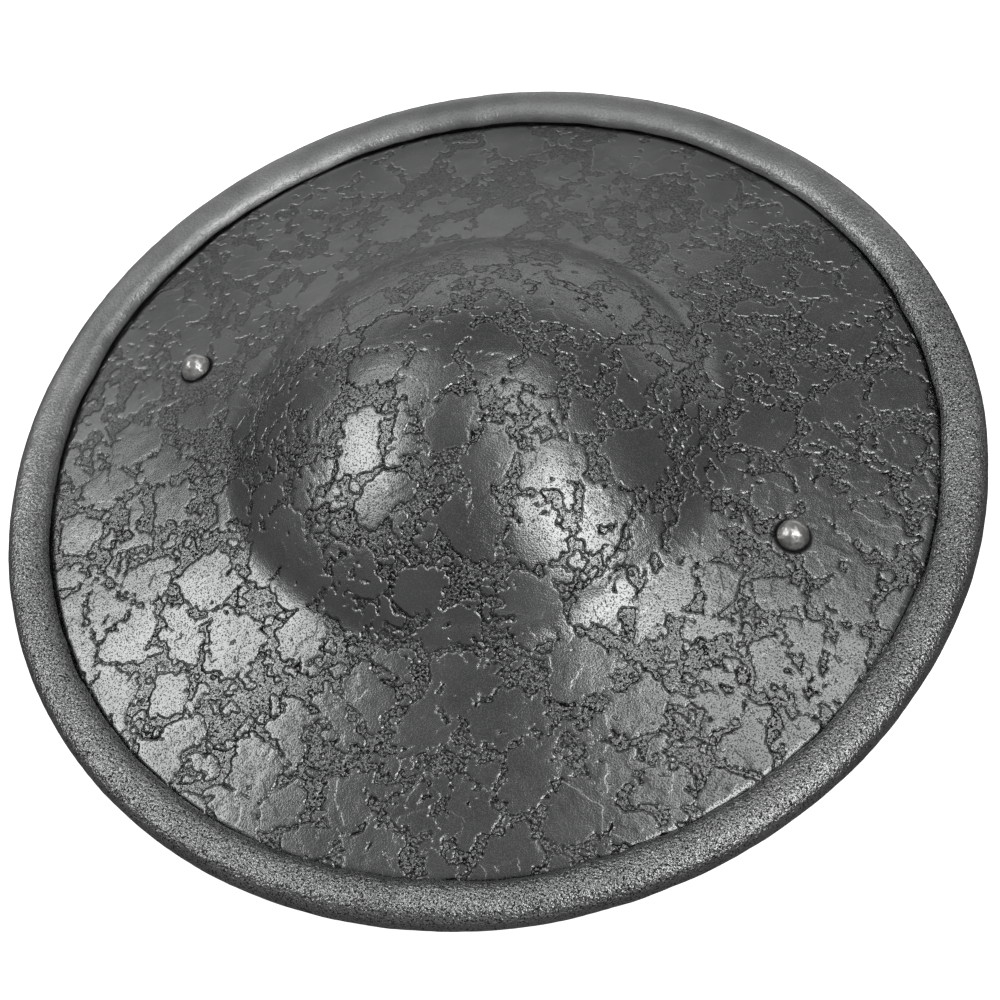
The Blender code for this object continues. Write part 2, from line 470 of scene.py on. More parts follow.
def point_normals(surface: Surface) -> np.ndarray:
    """Which way a surface faces at its points.

    Args:
        surface: the surface, in any shape.

    Returns:
        A vector of length 1 for each point, the mean over the triangles round it.
    """
    corners = surface.points[surface.triangles]
    facing = np.cross(corners[:, 1] - corners[:, 0], corners[:, 2] - corners[:, 0])
    return unit(spread_to_points(surface, facing))


def spread_to_points(surface: Surface, per_triangle: np.ndarray) -> np.ndarray:
    """Hands what each triangle holds to its three points.

    Args:
        surface: the surface that the triangles are of.
        per_triangle: three values for each triangle.

    Returns:
        Three values for each point: the sum over the triangles round it.
    """
    corner = surface.triangles.ravel()
    shared = np.repeat(per_triangle, 3, axis=0)
    count = len(surface.points)
    return np.stack([np.bincount(corner, shared[:, axis], count) for axis in range(3)], axis=1)


def unit(vectors: np.ndarray) -> np.ndarray:
    """The vectors at length 1."""
    return vectors / np.maximum(np.linalg.norm(vectors, axis=1, keepdims=True), 1e-12)


def evened(surface: Surface, level: np.ndarray) -> np.ndarray:
    """Smooths a value that a surface holds at its points.

    Args:
        surface: the surface that holds the value.
        level: the value at each of its points.

    Returns:
        The mean of the value over the triangles round each point.
    """
    corner = surface.triangles.ravel()
    around = np.repeat(level[surface.triangles].mean(axis=1), 3)
    count = len(surface.points)
    return np.bincount(corner, around, count) / np.maximum(np.bincount(corner, minlength=count), 1)


def outline_bits(surface: Surface, level: np.ndarray) -> np.ndarray:
    """The line on a surface where a value passes through zero.

    Args:
        surface: the surface that holds the value.
        level: the value at each of its points.

    Returns:
        A straight bit for each triangle that the line crosses: its two ends, each a position.
    """
    over = level[surface.triangles] > 0
    crossed = over.any(axis=1) & ~over.all(axis=1)
    over, corners = over[crossed], surface.triangles[crossed]
    row = np.arange(len(corners))
    lone = np.where(over.sum(axis=1) == 1, over.argmax(axis=1), (~over).argmax(axis=1))
    one = corners[row, lone]
    ends = []
    for step in (1, 2):
        other = corners[row, (lone + step) % 3]
        share = (level[one] / (level[one] - level[other]))[:, None]
        ends.append(surface.points[one] + share * (surface.points[other] - surface.points[one]))
    return np.stack(ends, axis=1)


def distance_to(bits: np.ndarray, points: np.ndarray) -> np.ndarray:
    """How far points are from a line made of many short straight bits.

    Args:
        bits: the two ends of each bit.
        points: positions, three to a row.

    Returns:
        Each point's distance to the bit that it is nearest to.
    """
    tree = KDTree(2 * len(bits))
    for share in (0.25, 0.75):
        for index, place in enumerate((bits[:, 0] * share + bits[:, 1] * (1 - share)).tolist()):
            tree.insert(place, index)
    tree.balance()
    nearest = bits[[tree.find(place)[1] for place in points.tolist()]]
    along = nearest[:, 1] - nearest[:, 0]
    away = points - nearest[:, 0]
    share = (away * along).sum(axis=1) / np.maximum((along**2).sum(axis=1), 1e-18)
    return np.linalg.norm(away - np.clip(share, 0, 1)[:, None] * along, axis=1)


def joined(*surfaces: Surface) -> Surface:
    """Puts several surfaces in one, which no triangle joins yet.

    Args:
        *surfaces: the surfaces, in order. A value that one of them lacks is 0 there.

    Returns:
        The new surface, with no rings.
    """
    offset = 0
    points, triangles = [], []
    names = sorted({name for surface in surfaces for name in surface.values})
    values: dict[str, list[np.ndarray]] = {name: [] for name in names}
    for surface in surfaces:
        points.append(surface.points)
        triangles.append(surface.triangles + offset)
        for name in names:
            values[name].append(surface.values.get(name, np.zeros(len(surface.points))))
        offset += len(surface.points)
    held = {name: np.concatenate(parts) for name, parts in values.items()}
    return Surface(np.concatenate(points), np.concatenate(triangles), [], held)


def skirt(surface: Surface, one: np.ndarray, other: np.ndarray) -> None:
    """Closes the gap between two rings of a surface with a band of triangles that faces outwards."""
    surface.triangles = np.concatenate([surface.triangles, bridge(other, one)])


def make_piece(name: str, surface: Surface, sharp_angle: float = 50.0) -> bpy.types.Object:
    """Makes a mesh object of a surface, in the scene and riding on the shield's body.

    Args:
        name: the piece's name.
        surface: its points, triangles and values.
        sharp_angle: edges that turn more than this many degrees stay sharp.

    Returns:
        The new object.
    """
    mesh = bpy.data.meshes.new(name)
    triangles = surface.triangles
    mesh.vertices.add(len(surface.points))
    mesh.vertices.foreach_set("co", surface.points.astype(np.float32).ravel())
    mesh.loops.add(triangles.size)
    mesh.loops.foreach_set("vertex_index", triangles.astype(np.int32).ravel())
    mesh.polygons.add(len(triangles))
    mesh.polygons.foreach_set("loop_start", np.arange(0, triangles.size, 3, dtype=np.int32))
    mesh.update(calc_edges=True)
    for key, values in surface.values.items():
        attribute = mesh.attributes.new(key, "FLOAT", "POINT")
        attribute.data.foreach_set("value", values.astype(np.float32))
    mesh.shade_smooth()
    mesh.set_sharp_from_angle(angle=math.radians(sharp_angle))
    piece = bpy.data.objects.new(name, mesh)
    bpy.context.scene.collection.objects.link(piece)
    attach(piece, BODY)
    log.info("%s: %d triangles", name, len(triangles))
    return piece


def arc_lengths(line: np.ndarray) -> np.ndarray:
    """How far along the line each of its points is."""
    return np.concatenate([[0.0], np.cumsum(np.linalg.norm(np.diff(line, axis=0), axis=1))])


def respaced(line: np.ndarray, spacing: float) -> np.ndarray:
    """Spaces a line's points evenly.

    Args:
        line: (radius, height) of its points.
        spacing: how far apart the new points are, about.

    Returns:
        The same line with new points, both ends kept.
    """
    along = arc_lengths(line)
    steps = max(2, round(along[-1] / spacing))
    places = np.linspace(0, along[-1], steps + 1)
    return np.stack([np.interp(places, along, line[:, axis]) for axis in range(2)], axis=1)


def offset_line(line: np.ndarray, distance: float) -> np.ndarray:
    """The line moved square to itself, to its left where the distance is positive."""
    along = unit(np.gradient(line, axis=0))
    return line + distance * np.stack([-along[:, 1], along[:, 0]], axis=1)


def bezier(controls: list[tuple[float, float]], steps: int) -> np.ndarray:
    """Draws a Bezier curve.

    Args:
        controls: its control points.
        steps: how many stretches it is drawn in.

    Returns:
        Points along it, both ends included.
    """
    share = np.linspace(0, 1, steps + 1)[:, None]
    level = [np.repeat(np.array([control], float), steps + 1, axis=0) for control in controls]
    while len(level) > 1:
        level = [one + (other - one) * share for one, other in zip(level, level[1:])]
    return level[0]


# ---- Finishes ----

PLUS = {"operation": "ADD"}
MINUS = {"operation": "SUBTRACT"}
TIMES = {"operation": "MULTIPLY"}
TIMES_PLUS = {"operation": "MULTIPLY_ADD"}
LARGER = {"operation": "MAXIMUM"}
SMOOTH = {"interpolation_type": "SMOOTHSTEP"}
COLOURS = {"data_type": "RGBA"}
# Numbers of the colour mixer's sockets: its share, its two colours and its result.
SHARE, ONE, OTHER, MIXED = 0, 6, 7, 2
# How much an open face mirrors: the default level, which a metal keeps.
FULL_GLOSS = 0.5


def linear(hex_colour: str) -> tuple[float, float, float, float]:
    """Turns a colour into what a shader takes.

    Args:
        hex_colour: an sRGB colour, such as "#808080".

    Returns:
        Its linear red, green and blue, and full opacity.
    """
    parts = [int(hex_colour[i : i + 2], 16) / 255 for i in (1, 3, 5)]
    red, green, blue = (
        part / 12.92 if part <= 0.04045 else ((part + 0.055) / 1.055) ** 2.4 for part in parts
    )
    return red, green, blue, 1.0


def add_node(
    tree: bpy.types.NodeTree,
    kind: str,
    links: Sequence[object] | dict[str | int, object] = (),
    output: str | int = 0,
    **settings: object,
) -> bpy.types.NodeSocket:
    """Adds a node.

    Args:
        tree: the node tree that it goes in.
        kind: the node's type, such as "Math".
        links: for each input, the socket that feeds it or the value that it holds, in order or by name.
        output: the name or number of the output that is wanted.
        **settings: the node's own properties.

    Returns:
        That output.
    """
    node = tree.nodes.new("ShaderNode" + kind)
    for key, value in settings.items():
        setattr(node, key, value)
    for key, value in links.items() if isinstance(links, dict) else enumerate(links):
        if isinstance(value, bpy.types.NodeSocket):
            tree.links.new(value, node.inputs[key])
        else:
            node.inputs[key].default_value = value
    return node.outputs[output]


class MetalTree:
    """A metal's node tree while it is made: its shader, and its patterns measured in millimetres.

    The rubbed side is a direction from the shield's middle, and the metal goes from fresh to fully rubbed
    between two distances along it, in metres.
    """

    noise_roughness = 0.6
    rubbed_side = (-0.62, 0.79, 0.0)
    rubbed_from = -0.01
    rubbed_to = 0.10

    def __init__(self, name: str, **grains: tuple[float, float]) -> None:
        """Starts a material.

        Args:
            name: what the metal is and how its surface was made.
            **grains: for each soft noise, how far apart its humps are in millimetres, and its detail.
        """
        self.material = bpy.data.materials.new(name)
        self.material.use_nodes = True
        self.shader = self.material.node_tree.nodes["Principled BSDF"]
        self.add = partial(add_node, self.material.node_tree)
        self.place = self.add("TexCoord", output="Object")
        self.grain: dict[str, bpy.types.NodeSocket] = {}
        for key, (size, detail) in grains.items():
            links = {"Vector": self.place, "Scale": 1 / (size * MM), "Detail": detail}
            links["Roughness"] = self.noise_roughness
            self.grain[key] = self.add("TexNoise", links)

    def rubbed(self, least: float) -> bpy.types.NodeSocket:
        """How fresh a surface is: 1 over most of the shield, down to this least on its rubbed side."""
        along = self.add("VectorMath", (self.place, self.rubbed_side), "Value", operation="DOT_PRODUCT")
        return self.add("MapRange", (along, self.rubbed_from, self.rubbed_to, 1.0, least), **SMOOTH)

    def finish(
        self,
        colour: object,
        roughness: object,
        height: object,
        bare: object = 1.0,
        gloss: object = FULL_GLOSS,
    ) -> bpy.types.Material:
        """Sets the shader.

        Args:
            colour: the base colour.
            roughness: its roughness.
            height: its fine relief in metres.
            bare: 1 where the metal is bare, 0 where oxide hides it.
            gloss: how much it mirrors: near 0 where a porous hollow traps the light, and under painted shade.

        Returns:
            The finished material.
        """
        bump = self.add("Bump", {"Height": height, "Strength": 1.0, "Distance": 1.0})
        for socket, value in (
            ("Metallic", bare),
            ("Base Color", colour),
            ("Roughness", roughness),
            ("Specular IOR Level", gloss),
            ("Normal", bump),
        ):
            if isinstance(value, bpy.types.NodeSocket):
                self.material.node_tree.links.new(value, self.shader.inputs[socket])
            else:
                self.shader.inputs[socket].default_value = value
        return self.material


@dataclass(frozen=True)
class EtchedSteel:
    """Mild steel sheet, etched in acid, blackened and rubbed back.

    The kept islands are finely pitted, so they catch the light as a sparkling grain. The eaten ground is
    darker and speckled, with black smut in its hollows. A black line round each island, along the foot of
    every step, is partly black oxide and partly painted shade. A light band on the steps' shoulders is partly
    wear and partly a painted highlight, and a painted contact shadow rings each rivet. Widths and heights are
    in millimetres, but for the rivets' place and the painted shadow rings round them, which are in metres.
    """

    island: str = "#A3A4A4"
    island_dark: str = "#939494"
    # A light colour for the steps' shoulders: partly wear, partly a painted highlight.
    wear_and_highlight: str = "#CDCECE"
    ground: str = "#B0B1B1"
    ground_dark: str = "#606161"
    ground_mean: float = 0.35
    oxide: str = "#3A3A3B"
    # Black for the smut in the ground's hollows, and for painted shade: at the foot of each step and as a
    # contact shadow round each rivet.
    soot_and_shade: str = "#131314"
    roughness: float = 0.22
    least_fresh: float = 0.60
    least_contrast: float = 0.35
    jag_reach: float = 0.9
    step_width: float = 0.62
    step_height: float = 0.35
    terrace_width: float = 0.40
    terrace_height: float = 0.04
    grit_height: float = 0.09
    fine_height: float = 0.070
    bath_range: tuple[float, float] = (0.38, 0.60)
    least_bite: float = 0.80
    grit_range: tuple[float, float] = (0.54, 0.66)
    patina_range: tuple[float, float] = (0.35, 0.65)
    speckle_range: tuple[float, float] = (0.40, 0.57)
    shoulder_below: tuple[float, float] = (-0.50, -0.28)
    shoulder_above: tuple[float, float] = (0.0, 0.20)
    shoulder_wear_and_highlight: float = 0.25
    foot_outside: tuple[float, float] = (-0.88, -0.79)
    foot_inside: tuple[float, float] = (-0.60, -0.51)
    smut_pull: float = 0.5
    hollow_range: tuple[float, float] = (0.14, 0.22)
    least_darkness: float = 0.85
    pit_range: tuple[float, float] = (0.34, 0.48)
    pit_oxide: float = 0.80
    rubbed_pits: float = 0.15
    veil: float = 0.26
    patina_roughness: float = 0.08
    oxide_roughness: float = 0.35
    soot_and_shade_dulling: float = 0.45
    rivet_place: float = 0.0995
    # The painted contact shadow round each rivet head: where it fades, in metres, and how dark it is.
    shadow_ring: tuple[float, float] = (0.0052, 0.0064)
    shadow_ring_strength: float = 0.95

    def build(self) -> bpy.types.Material:
        """Makes the material."""
        # Real acid pits are 0.05 to 0.2 mm across. The pebbled ground and the fine pits are drawn at 0.75
        # and 0.52 mm, as coarse as they need to be to show. The others are as wide as they really are: the
        # jags of an outline, the smut, the bath's unevenness, and a patina the size of a hand's print.
        metal = MetalTree(
            "etched_blackened_mild_steel",
            jags=(1.5, 1.0),
            pebbles=(0.75, 2.5),
            fine=(0.52, 1.5),
            smut=(5.0, 3.0),
            wide=(11.0, 2.0),
            patina=(26.0, 3.0),
        )
        add, grain = metal.add, metal.grain
        jags = add("Math", (grain["jags"], self.jag_reach, -self.jag_reach / 2), **TIMES_PLUS)
        edge = add("Math", (add("Attribute", output="Fac", attribute_name=ISLANDS), jags), **PLUS)
        raised = add("MapRange", (edge, -self.step_width, 0.0))
        lowered = add("Math", (1.0, raised), **MINUS)
        fresh = metal.rubbed(self.least_fresh)
        keen = add("MapRange", (fresh, self.least_fresh, 1.0, self.least_contrast, 1.0), **SMOOTH)

        deep = self.deep(metal, edge, lowered, keen)
        # The oxide in the pits joins the deep marks: smut in the hollows, and painted shade at the steps'
        # feet and round the rivets. All of them take a black colour and are not metallic.
        oxide = add("Math", (self.pits(metal, fresh), deep), **LARGER)
        pair = {ONE: linear(self.oxide), OTHER: linear(self.soot_and_shade)}
        black = add("Mix", {SHARE: deep, **pair}, MIXED, **COLOURS)
        colour = self.colour(metal, edge, raised, keen)
        colour = add("Mix", {SHARE: oxide, ONE: colour, OTHER: black}, MIXED, **COLOURS)
        smoothest = self.roughness - self.patina_roughness / 2
        roughness = add("Math", (grain["patina"], self.patina_roughness, smoothest), **TIMES_PLUS)
        roughness = add("Math", (oxide, self.oxide_roughness, roughness), **TIMES_PLUS)
        height = self.relief(metal, jags, raised, lowered, fresh)
        bare = add("Math", (1.0, oxide), **MINUS)
        # The deep marks also lower the gloss, so the painted shade darkens reflections as well.
        gloss = add("Math", (deep, -self.soot_and_shade_dulling, FULL_GLOSS), **TIMES_PLUS)
        return metal.finish(colour, roughness, height, bare, gloss)

    def relief(
        self,
        metal: MetalTree,
        jags: bpy.types.NodeSocket,
        raised: bpy.types.NodeSocket,
        lowered: bpy.types.NodeSocket,
        fresh: bpy.types.NodeSocket,
    ) -> bpy.types.NodeSocket:
        """The bevels of the islands and the terraces, with grit on the ground and fine pits all over.

        Args:
            metal: the material's node tree.
            jags: millimetres that an outline is pushed out by.
            raised: 1 on the islands, 0 on the ground, and the slope between them.
            lowered: the other way round.
            fresh: how fresh the etch is.

        Returns:
            The height in metres.
        """
        add, grain = metal.add, metal.grain
        terraces = add("Math", (add("Attribute", output="Fac", attribute_name=TERRACES), jags), **PLUS)
        terrace = add("MapRange", (terraces, -self.terrace_width, 0.0))
        grit = add("MapRange", (grain["pebbles"], *self.grit_range), **SMOOTH)
        grit = add("Math", (grit, lowered), **TIMES)
        grit = add("Math", (grit, self.grit_height * MM), **TIMES)
        # Half way down a bevel both are 0.5 and their product a quarter, so the pits fade out there.
        bevel = add("Math", (raised, lowered), **TIMES)
        flat = add("Math", (bevel, -4.0, 1.0), **TIMES_PLUS)
        fine = add("Math", (grain["fine"], flat), **TIMES)
        rough = add("Math", (fine, self.fine_height * MM, grit), **TIMES_PLUS)
        rough = add("Math", (rough, fresh), **TIMES)
        bite = add("MapRange", (grain["wide"], *self.bath_range, self.least_bite, 1.0), **SMOOTH)
        bite = add("Math", (bite, fresh), **TIMES)
        step = add("Math", (raised, bite), **TIMES)
        height = add("Math", (step, self.step_height * MM, rough), **TIMES_PLUS)
        return add("Math", (terrace, self.terrace_height * MM, height), **TIMES_PLUS)

    def colour(
        self,
        metal: MetalTree,
        edge: bpy.types.NodeSocket,
        raised: bpy.types.NodeSocket,
        keen: bpy.types.NodeSocket,
    ) -> bpy.types.NodeSocket:
        """The bare metal's colour, before any oxide, with a light band on the steps' shoulders that is partly
        wear and partly a painted highlight.

        Args:
            metal: the material's node tree.
            edge: millimetres into an island.
            raised: 1 on the islands, 0 on the ground.
            keen: how much of its contrast the etch has kept.

        Returns:
            The colour.
        """
        add, grain = metal.add, metal.grain
        patina = add("MapRange", (grain["patina"], *self.patina_range), **SMOOTH)
        pair = {ONE: linear(self.island_dark), OTHER: linear(self.island)}
        face = add("Mix", {SHARE: patina, **pair}, MIXED, **COLOURS)
        even = self.ground_mean
        speckle = add("MapRange", (grain["pebbles"], *self.speckle_range, -even, 1 - even), **SMOOTH)
        speckle = add("Math", (speckle, keen, even), **TIMES_PLUS)
        pair = {ONE: linear(self.ground_dark), OTHER: linear(self.ground)}
        floor = add("Mix", {SHARE: speckle, **pair}, MIXED, **COLOURS)
        colour = add("Mix", {SHARE: raised, ONE: floor, OTHER: face}, MIXED, **COLOURS)
        # The light band on the shoulders, partly wear and partly a painted highlight round every island.
        below = add("MapRange", (edge, *self.shoulder_below), **SMOOTH)
        above = add("MapRange", (edge, *self.shoulder_above, 1.0, 0.0), **SMOOTH)
        shoulder = add("Math", (below, above), **TIMES)
        shoulder = add("Math", (shoulder, self.shoulder_wear_and_highlight), **TIMES)
        return add("Mix", {SHARE: shoulder, ONE: colour, OTHER: linear(self.wear_and_highlight)}, MIXED, **COLOURS)

    def deep(
        self,
        metal: MetalTree,
        edge: bpy.types.NodeSocket,
        lowered: bpy.types.NodeSocket,
        keen: bpy.types.NodeSocket,
    ) -> bpy.types.NodeSocket:
        """Where it is blackened: smut in the ground's hollows, a line along the foot of the steps that is
        partly black oxide and partly painted shade, and a painted contact shadow round the rivets.

        Args:
            metal: the material's node tree.
            edge: millimetres into an island.
            lowered: 1 on the ground, 0 on the islands.
            keen: how much of its contrast the etch has kept.

        Returns:
            1 where it is blackest, 0 where there is none.
        """
        add, grain = metal.add, metal.grain
        darkness = add("MapRange", (grain["wide"], *self.bath_range, self.least_darkness, 1.0), **SMOOTH)
        # The foot line: partly black oxide, partly painted shade in the corner of each step.
        outside = add("MapRange", (edge, *self.foot_outside), **SMOOTH)
        inside = add("MapRange", (edge, *self.foot_inside, darkness, 0.0), **SMOOTH)
        foot = add("Math", (outside, inside), **TIMES)
        hollows = add("Math", (grain["smut"], -self.smut_pull, grain["pebbles"]), **TIMES_PLUS)
        hollows = add("MapRange", (hollows, *self.hollow_range, darkness, 0.0), **SMOOTH)
        hollows = add("Math", (hollows, lowered), **TIMES)
        soot_and_shade = add("Math", (hollows, foot), **LARGER)
        soot_and_shade = add("Math", (soot_and_shade, keen), **TIMES)
        return add("Math", (soot_and_shade, self.rivet_shadow(metal)), **LARGER)

    def pits(self, metal: MetalTree, fresh: bpy.types.NodeSocket) -> bpy.types.NodeSocket:
        """The oxide left in fine pits, which a rubbed side keeps as a thin even veil.

        Args:
            metal: the material's node tree.
            fresh: how fresh the etch is.

        Returns:
            The share of the metal that oxide hides.
        """
        limits = (*self.pit_range, self.pit_oxide - self.veil, -self.veil)
        pits = metal.add("MapRange", (metal.grain["fine"], *limits), **SMOOTH)
        kept = metal.add("MapRange", (fresh, self.least_fresh, 1.0, self.rubbed_pits, 1.0), **SMOOTH)
        return metal.add("Math", (pits, kept, self.veil), **TIMES_PLUS)

    def rivet_shadow(self, metal: MetalTree) -> bpy.types.NodeSocket:
        """A painted contact shadow, a black ring round the two rivet heads.

        Args:
            metal: the material's node tree.

        Returns:
            Near 1 beside a head, falling to 0 a millimetre away.
        """
        folded = metal.add("VectorMath", (metal.place,), operation="ABSOLUTE")
        flat = metal.add("VectorMath", (folded, (1.0, 1.0, 0.0)), operation="MULTIPLY")
        rivet = (self.rivet_place, 0.0, 0.0)
        away = metal.add("VectorMath", (flat, rivet), "Value", operation="DISTANCE")
        return metal.add("MapRange", (away, *self.shadow_ring, self.shadow_ring_strength, 0.0), **SMOOTH)


@dataclass(frozen=True)
class RolledRimSteel:
    """The same sheet's rolled edge: peened with a hammer and rubbed bright on its crown.

    It reads lighter than the plate, with a fine even stipple, small dark pits and rubbed highlights. Heights
    are in millimetres.
    """

    bright: str = "#BDBEBE"
    dark: str = "#AAABAB"
    pit: str = "#151516"
    roughness: float = 0.20
    least_fresh: float = 0.25
    stipple_height: float = 0.56
    hammer_height: float = 0.16
    fine_height: float = 0.06
    patch_range: tuple[float, float] = (0.35, 0.65)
    pit_range: tuple[float, float] = (0.40, 0.47)
    pit_oxide: float = 0.95
    patch_roughness: float = 0.12
    oxide_roughness: float = 0.30
    rubbed_roughness: float = 0.20
    oxide_dulling: float = 0.35

    def build(self) -> bpy.types.Material:
        """Makes the material."""
        # The dents of a small peening hammer are about 9 mm apart. The stipple and the pits are really 0.1
        # to 0.3 mm across, and are drawn as coarse as they need to be to show.
        metal = MetalTree(
            "peened_rolled_steel_rim",
            stipple=(1.0, 2.0),
            fine=(0.58, 1.0),
            hammer=(9.0, 2.0),
            patches=(22.0, 3.0),
        )
        add, grain = metal.add, metal.grain
        fresh = metal.rubbed(self.least_fresh)
        height = add("Math", (grain["stipple"], fresh), **TIMES)
        height = add("Math", (height, self.stipple_height * MM), **TIMES)
        height = add("Math", (grain["hammer"], self.hammer_height * MM, height), **TIMES_PLUS)
        height = add("Math", (grain["fine"], self.fine_height * MM, height), **TIMES_PLUS)

        patches = add("MapRange", (grain["patches"], *self.patch_range), **SMOOTH)
        pair = {ONE: linear(self.dark), OTHER: linear(self.bright)}
        colour = add("Mix", {SHARE: patches, **pair}, MIXED, **COLOURS)
        oxide = add("MapRange", (grain["fine"], *self.pit_range, self.pit_oxide, 0.0), **SMOOTH)
        oxide = add("Math", (oxide, fresh), **TIMES)
        colour = add("Mix", {SHARE: oxide, ONE: colour, OTHER: linear(self.pit)}, MIXED, **COLOURS)

        smoothest = self.roughness - self.patch_roughness / 2
        roughness = add("Math", (grain["patches"], self.patch_roughness, smoothest), **TIMES_PLUS)
        roughness = add("Math", (oxide, self.oxide_roughness, roughness), **TIMES_PLUS)
        dulled = add("MapRange", (fresh, self.least_fresh, 1.0, self.rubbed_roughness, 0.0), **SMOOTH)
        roughness = add("Math", (roughness, dulled), **PLUS)
        bare = add("Math", (1.0, oxide), **MINUS)
        gloss = add("Math", (oxide, -self.oxide_dulling, FULL_GLOSS), **TIMES_PLUS)
        return metal.finish(colour, roughness, height, bare, gloss)


@dataclass(frozen=True)
class WorkedSteel:
    """Bare worked steel: one broad pattern tints it and one fine pattern breaks up its gloss.

    Each pattern has the distance between its humps in millimetres, its detail and its height in millimetres.
    """

    name: str
    dark: str
    light: str
    tint: tuple[float, float]
    roughness: float
    roughness_spread: float
    broad: tuple[float, float, float]
    fine: tuple[float, float, float]

    def build(self) -> bpy.types.Material:
        """Makes the material."""
        metal = MetalTree(self.name, broad=self.broad[:2], fine=self.fine[:2])
        add, grain = metal.add, metal.grain
        height = add("Math", (grain["broad"], self.broad[2] * MM), **TIMES)
        height = add("Math", (grain["fine"], self.fine[2] * MM, height), **TIMES_PLUS)
        share = add("MapRange", (grain["broad"], *self.tint), **SMOOTH)
        pair = {ONE: linear(self.dark), OTHER: linear(self.light)}
        colour = add("Mix", {SHARE: share, **pair}, MIXED, **COLOURS)
        smoothest = self.roughness - self.roughness_spread / 2
        roughness = add("Math", (grain["fine"], self.roughness_spread, smoothest), **TIMES_PLUS)
        return metal.finish(colour, roughness, height)


@dataclass(frozen=True)
class BlackenedBackSteel(WorkedSteel):
    """The back of the sheet: mild steel left black from the forge.

    It is darker and more even than the front, with broad rubbed patches that have no height. Its scale
    flakes are really about 0.3 mm across, and are drawn coarser to show.
    """

    name: str = "forge_blackened_mild_steel"
    dark: str = "#5A5A5C"
    light: str = "#828284"
    tint: tuple[float, float] = (0.35, 0.7)
    roughness: float = 0.48
    roughness_spread: float = 0.12
    broad: tuple[float, float, float] = (30.0, 4.0, 0.0)
    fine: tuple[float, float, float] = (1.2, 3.0, 0.05)


@dataclass(frozen=True)
class HammeredRivetSteel(WorkedSteel):
    """Soft iron rivets, headed with a hammer and polished.

    They are the brightest metal on the shield. Small soft facets, about 2 mm across, break up each
    highlight. Polishing scratches are under 0.05 mm wide, and are drawn coarser to show.
    """

    name: str = "hammered_polished_rivet_iron"
    dark: str = "#CDCCCA"
    light: str = "#EFEEEC"
    tint: tuple[float, float] = (0.3, 0.7)
    roughness: float = 0.36
    roughness_spread: float = 0.14
    broad: tuple[float, float, float] = (2.2, 1.0, 0.30)
    fine: tuple[float, float, float] = (0.4, 2.0, 0.012)


@dataclass(frozen=True)
class ForgedBarSteel(WorkedSteel):
    """Bar steel drawn out under the hammer and wire brushed.

    It has dark fire scale in its hollows, and is rubbed to bare grey where a hand closes. The hammer's marks
    are about 7 mm apart. The brush's marks are drawn coarser than they are, to show.
    """

    name: str = "wire_brushed_forged_bar_steel"
    dark: str = "#47474A"
    light: str = "#7C7C7E"
    tint: tuple[float, float] = (0.35, 0.62)
    roughness: float = 0.42
    roughness_spread: float = 0.16
    broad: tuple[float, float, float] = (7.0, 2.0, 0.25)
    fine: tuple[float, float, float] = (1.4, 3.0, 0.04)


# ---- The sheet ----


